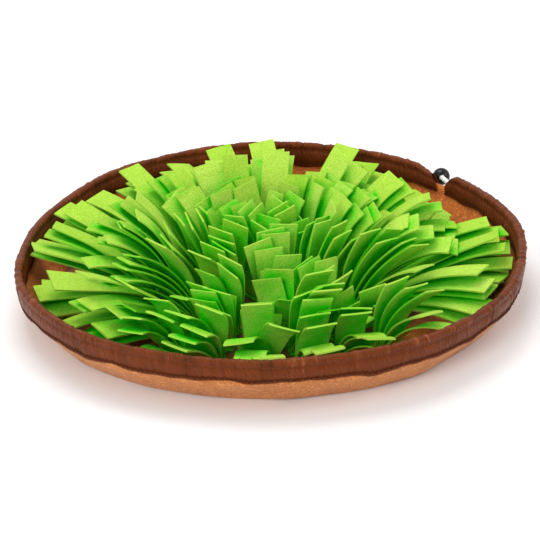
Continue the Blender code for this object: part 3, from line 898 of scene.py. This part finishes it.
def backing_body(root, out, side, depth, clearance):
    """The backing of a bunch by itself, from the depth between its first and last strip."""
    front = root + out * (BACKING_LIP + clearance)
    back = root - out * (depth + BACKING_LIP + clearance)
    half_w = (0.5 * STRIP_WIDTH + clearance) * side
    drop = UP * BACKING
    rise = UP * clearance
    return closed_box([[place - half_w - drop, place + half_w - drop,
                        place + half_w + rise, place - half_w + rise]
                       for place in (front, back)])


def inside_dish(strip):
    """True where no corner of the strip goes through the floor or the wall."""
    return all(clear_of_dish(corner, GAP, CLEAR)
               for section in strip_sections(strip, FELT) for corner in section)


def try_strip(draw, nominal, attempt):
    """A variation of a strip's pose, wider with each failed attempt."""
    strip = dict(nominal)
    spread = 1 + 0.12 * attempt
    strip["fan"] += draw.uniform(-1, 1) * nominal["fan_range"] * min(spread, 1.8)
    strip["lean"] += draw.uniform(-0.35, 0.35) * nominal["lean_step"] * spread
    strip["bend"] += draw.uniform(-1, 1) * math.radians(6) * spread
    strip["twist"] += draw.uniform(-1, 1) * math.radians(6)
    strip["length"] *= draw.uniform(0.95, 1.03) * (1 - 0.008 * attempt)
    return strip


def pushed(ring, angle):
    """More lean, less bend, outward shift and length share of a ring's bunch at an angle."""
    more, less, shift, share = 0.0, 0.0, 0.0, 1.0
    for name, middle, width, lean, bend, out, kept in PUSHED:
        if name == ring:
            away = (angle - middle + 180) % 360 - 180
            near = math.exp(-(away / width) ** 2)
            more += lean * near
            less += bend * near
            shift += out * near
            share -= (1 - kept) * near
    return more, less, shift, share


def lay_bunches():
    """Every bunch of every ring, laid from the rim inward so that no two strips meet."""
    draw = random.Random(SEED)
    laid = []
    bunches = []
    for (name, bunch_count, first, arc, reach, strips, pitch, lean, spread, length,
            fan, bend, turn) in RINGS:
        depth = pitch * (strips - 1)
        for index in range(bunch_count):
            degrees = first + arc * (index + draw.uniform(-0.12, 0.12)) / bunch_count
            more, less, shift, share = pushed(name, degrees)
            for attempt in range(TRIES):
                turned = math.radians(draw.uniform(-turn, turn))
                slip = draw.uniform(-3, 3) * (1 + 0.06 * attempt) * mm
                angle = math.radians(degrees)
                root = polar(angle, reach + shift + slip, CLOTH + GAP + BACKING)
                out = outward(angle + turned)
                side = UP.cross(out)
                backing = backing_body(root, out, side, depth, CLEAR)
                if not any(backing.overlap(other) for other in laid):
                    break
            else:
                continue
            step = math.radians(spread) / (strips - 1)
            middle_lean = lean + more + draw.uniform(-6, 6)
            lowest = math.radians(max(middle_lean - 0.5 * spread, 4))
            bunch_fan = math.radians(draw.uniform(-0.8, 0.8) * fan)
            bunch_bend = math.radians(bend - less + draw.uniform(-8, 8))
            bunch_twist = math.radians(draw.uniform(-14, 14))
            elbow = root + out * ELBOW_OUT + UP * ELBOW_UP
            placed = []
            own = []
            for layer in range(strips):
                strip_lean = lowest + step * layer
                if layer:
                    normal = UP * math.cos(strip_lean) - out * math.sin(strip_lean)
                    elbow = elbow + normal * LAYER - out * (pitch - LEAST_PITCH)
                foot = root - out * pitch * layer
                nominal = dict(
                    foot=foot, elbow=elbow, out=out, side=side, lean=strip_lean,
                    fan=bunch_fan, fan_range=math.radians(fan), lean_step=step,
                    bend=bunch_bend, twist=bunch_twist,
                    length=share * length - (elbow - foot).length)
                for attempt in range(TRIES):
                    strip = try_strip(draw, nominal, attempt)
                    if not inside_dish(strip):
                        continue
                    body = strip_body(strip, FELT + 2 * CLEAR, True)
                    blade = strip_body(strip, FELT + 2 * CLEAR, False)
                    if (any(body.overlap(other) for other in laid)
                            or any(blade.overlap(other) for other in own)):
                        continue
                    own.append(strip_body(strip, FELT, False))
                    placed.append(strip)
                    break
            laid += [strip_body(strip, FELT, True) for strip in placed]
            laid.append(backing_body(root, out, side, depth, 0))
            if len(placed) > 1:
                bunches.append((name, f"felt_{name}_{index + 1:02d}", root, out, side, placed))
    return bunches


felt, felt_shader, tree = finish("lime_needle_felt", Roughness=0.95, Sheen_Weight=0.03,
                                 Sheen_Tint=(0.6, 1.0, 0.25, 1), Specular_IOR_Level=0.03)
tone = told(tree, "tone")
# felt that other felt lies close over gets a painted shade: deep green in place of lime, on its
# faces and on its cut edges
painted_shade = spread(tree, told(tree, "painted_shade_under_felt"), 0.13, 0.60)
grain = noise(tree, 1150.0, 5.0, Roughness=0.75)
cloudy = noise(tree, 90.0, 4.0)
painted_shade_green = mixed(tree, tone, (0.003, 0.560, 0.0005), (0.020, 0.680, 0.001))
lime = mixed(tree, tone, (0.345, 0.615, 0.040), (0.475, 0.695, 0.095))
green = mixed(tree, painted_shade, lime, painted_shade_green)
green = mixed(tree, spread(tree, cloudy, 0.35, 0.7), green, (0.90, 0.93, 0.80), "MULTIPLY")
pepper = mixed(tree, spread(tree, grain, 0.42, 0.64), (1.25, 1.18, 1.40), (0.48, 0.64, 0.30))
green = mixed(tree, 1.0, green, pepper, "MULTIPLY")
edge = mixed(tree, painted_shade, (0.37, 0.61, 0.070), (0.07, 0.55, 0.005))
green = mixed(tree, told(tree, "cut"), green, edge)
dress(tree, felt_shader, green, (0.7, 0.7 * mm, grain), (0.3, 1.2 * mm, cloudy))

LEG_STEPS = 4
ARC_STEPS = 6
ACROSS = (-0.5, -0.25, 0.0, 0.25, 0.5)


def strip_line(strip):
    """Place, width direction and normal along a strip, bent evenly between its stations."""
    side = strip["side"]
    along, width, _ = strip_start(strip)
    foot, elbow = strip["foot"], strip["elbow"]
    size = (elbow - foot).length
    line = []
    for step in range(LEG_STEPS):
        t = step / LEG_STEPS
        here = (foot * (2 * t ** 3 - 3 * t ** 2 + 1) + UP * size * (t ** 3 - 2 * t ** 2 + t)
                + elbow * (3 * t ** 2 - 2 * t ** 3) + along * size * (t ** 3 - t ** 2))
        turned = (side * (1 - t) + width * t).normalized()
        going = (UP * (1 - t) + along * t).normalized()
        line.append((here, turned, going.cross(turned).normalized(), going, 0.0))
    place = elbow.copy()
    bend = strip["bend"] / STRIP_PARTS
    twist = strip["twist"] / STRIP_PARTS
    reach = strip["length"] / STRIP_PARTS
    for part in range(STRIP_PARTS):
        for step in range(ARC_STEPS + (part == STRIP_PARTS - 1)):
            t = step / ARC_STEPS
            chord = math.sin(0.5 * bend * t) / math.sin(0.5 * bend) if abs(bend) > 1e-4 else t
            here = place + (Quaternion(width, 0.5 * bend * t) @ along) * reach * chord
            going = Quaternion(width, bend * t) @ along
            turned = Quaternion(going, twist * t) @ width
            line.append((here, turned, going.cross(turned).normalized(), going,
                         (part + t) / STRIP_PARTS))
        place = place + (Quaternion(width, 0.5 * bend) @ along) * reach
        along = (Quaternion(width, bend) @ along).normalized()
        width = Quaternion(along, twist) @ width
    return line


def stays_inside(line, curl):
    """True where a strip curled this far still lies within the dish and above its cloth."""
    return all(clear_of_dish(here + width * way * STRIP_WIDTH + normal * curl * u ** 4,
                             2 * GAP, 2 * CLEAR)
               for here, width, normal, _, u in line for way in (-0.5, 0.5))


# how far a bunch's tips curl over: least and most
TIP_CURL = {
    "front": (-13 * mm, -3 * mm),
    "outer": (-5 * mm, 3 * mm),
    "second": (-9 * mm, 2 * mm),
    "third": (-7 * mm, 5 * mm),
    "centre": (-6 * mm, 6 * mm),
}
BACK_PRESS = 5 * mm            # how far the tips at the back are pressed down
LOOK_ROUND = 38 * mm           # how far off other felt still shades a strip
RAYS = 14
golden = math.pi * (3 - math.sqrt(5))
rays = [Vector((math.cos(golden * k) * math.sqrt(1 - z * z),
                math.sin(golden * k) * math.sqrt(1 - z * z), z))
        for k in range(RAYS) for z in [1 - (2 * k + 1) / RAYS]]
bunches = lay_bunches()
draw = random.Random(21)
felt_pieces = []
sides_of = []
for ring in ("front", "outer", "second", "third", "centre"):
    points = []
    faces = []
    tones = []
    cuts = []
    facing = []
    nodes = []
    for of_ring, node, root, out, side, strips in bunches:
        if of_ring != ring:
            continue
        nodes.append(node)
        # the narrow backing that the strips of a bunch are sewn into
        first = len(points)
        back = strips[-1]["foot"] - BACKING_LIP * out
        front = root + BACKING_LIP * out
        for low in (0, 1):
            for end, way in ((front, 1), (front, -1), (back, -1), (back, 1)):
                points.append(end + side * 0.5 * STRIP_WIDTH * way - UP * BACKING * low)
        faces += [tuple(first + k for k in quad) for quad in (
            (0, 3, 2, 1), (4, 5, 6, 7), (0, 1, 5, 4), (1, 2, 6, 5), (2, 3, 7, 6), (3, 0, 4, 7))]
        tones += [0.3] * 8
        facing += [UP] * 8
        cuts += [0.0] * 6
        arch = draw.uniform(0.020, 0.038)
        sway = draw.uniform(-3.0, 3.0) * mm
        phase = draw.uniform(0, math.tau)
        bunch_tone = draw.uniform(0.2, 0.8)
        # the tips at the back are pressed down behind the rim
        bunch_curl = draw.uniform(*TIP_CURL[ring]) - BACK_PRESS * max(0, out.y) ** 2
        for layer, strip in enumerate(strips):
            first = len(points)
            shade = min(max(bunch_tone + draw.uniform(-0.3, 0.3), 0), 1)
            cup = draw.uniform(-0.5, 0.5) * mm
            own = draw.uniform(-0.5, 0.5) * mm
            curl = bunch_curl + draw.uniform(-1.2, 1.2) * mm
            # the lowest and the topmost strips are free to bend away from the rest
            if layer == 0:
                curl -= draw.uniform(0, 6) * mm
            elif layer == len(strips) - 1:
                curl += draw.uniform(0, 4) * mm
            skew = draw.uniform(-0.09, 0.09)
            line = strip_line(strip)
            while not stays_inside(line, curl) and abs(curl) > 0.5 * mm:
                curl *= 0.6
            for here, width, normal, going, u in line:
                wave = (arch * strip["length"] * math.sin(math.pi * u)
                        + (sway * math.sin(4.2 * u + phase) + own * math.sin(7 * u)
                           + curl * u ** 3) * u)
                for face_way in (1, -1):
                    for v in ACROSS:
                        lift = wave + cup * (4 * v * v - 0.5) * u + face_way * 0.5 * FELT
                        slip = skew * v * STRIP_WIDTH if u == 1.0 else 0.0
                        points.append(here + width * v * STRIP_WIDTH + normal * lift
                                      + going * slip)
                        tones.append(shade)
                        facing.append(normal * face_way)
            cols = len(ACROSS)
            for row in range(len(line) - 1):
                a = first + row * 2 * cols
                b = a + 2 * cols
                for k in range(cols - 1):
                    faces.append((a + k, a + k + 1, b + k + 1, b + k))
                    faces.append((a + cols + k, b + cols + k, b + cols + k + 1, a + cols + k + 1))
                    cuts += [0.0, 0.0]
                faces.append((a, b, b + cols, a + cols))
                faces.append((a + cols - 1, a + 2 * cols - 1, b + 2 * cols - 1, b + cols - 1))
                cuts += [1.0, 1.0]
            a = first
            b = first + (len(line) - 1) * 2 * cols
            for k in range(cols - 1):
                faces.append((a + k, a + cols + k, a + cols + k + 1, a + k + 1))
                faces.append((b + k, b + k + 1, b + cols + k + 1, b + cols + k))
                cuts += [0.0, 1.0]
    piece = mesh_piece(f"felt_strips_{ring}", points, faces, felt)
    tell(piece, "tone", tones)
    tell(piece, "cut", cuts, "FACE")
    shape = bmesh.new()
    shape.from_mesh(piece.data)
    bmesh.ops.recalc_face_normals(shape, faces=shape.faces)
    shape.to_mesh(piece.data)
    shape.free()
    piece.data.set_sharp_from_angle(angle=math.radians(50))
    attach(piece, "root")
    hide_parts(*nodes)
    felt_pieces.append(piece)
    sides_of.append(facing)

# each point of the felt and the dish is told how much felt lies close over it, for the painted
# shade of its material
every_point = []
every_face = []
for piece in felt_pieces:
    before = len(every_point)
    every_point += [vertex.co for vertex in piece.data.vertices]
    every_face += [[before + k for k in polygon.vertices] for polygon in piece.data.polygons]
all_felt = BVHTree.FromPolygons(every_point, every_face)
sides_of.append([UP if inside else -UP for inside in dish_inside])
for piece, facing in zip(felt_pieces + [dish], sides_of):
    painted_shade_under_felt = []
    for vertex, normal in zip(piece.data.vertices, facing):
        start = vertex.co + normal * 0.3 * mm
        felt_near = 0.0
        for ray in rays:
            way = ray if ray.dot(normal) > 0 else -ray
            _, met, _, distance = all_felt.ray_cast(start, way, LOOK_ROUND)
            if distance is not None and met.dot(way) < 0:
                felt_near += 1 - 0.6 * distance / LOOK_ROUND
        painted_shade_under_felt.append(felt_near / RAYS)
    tell(piece, "painted_shade_under_felt", painted_shade_under_felt)
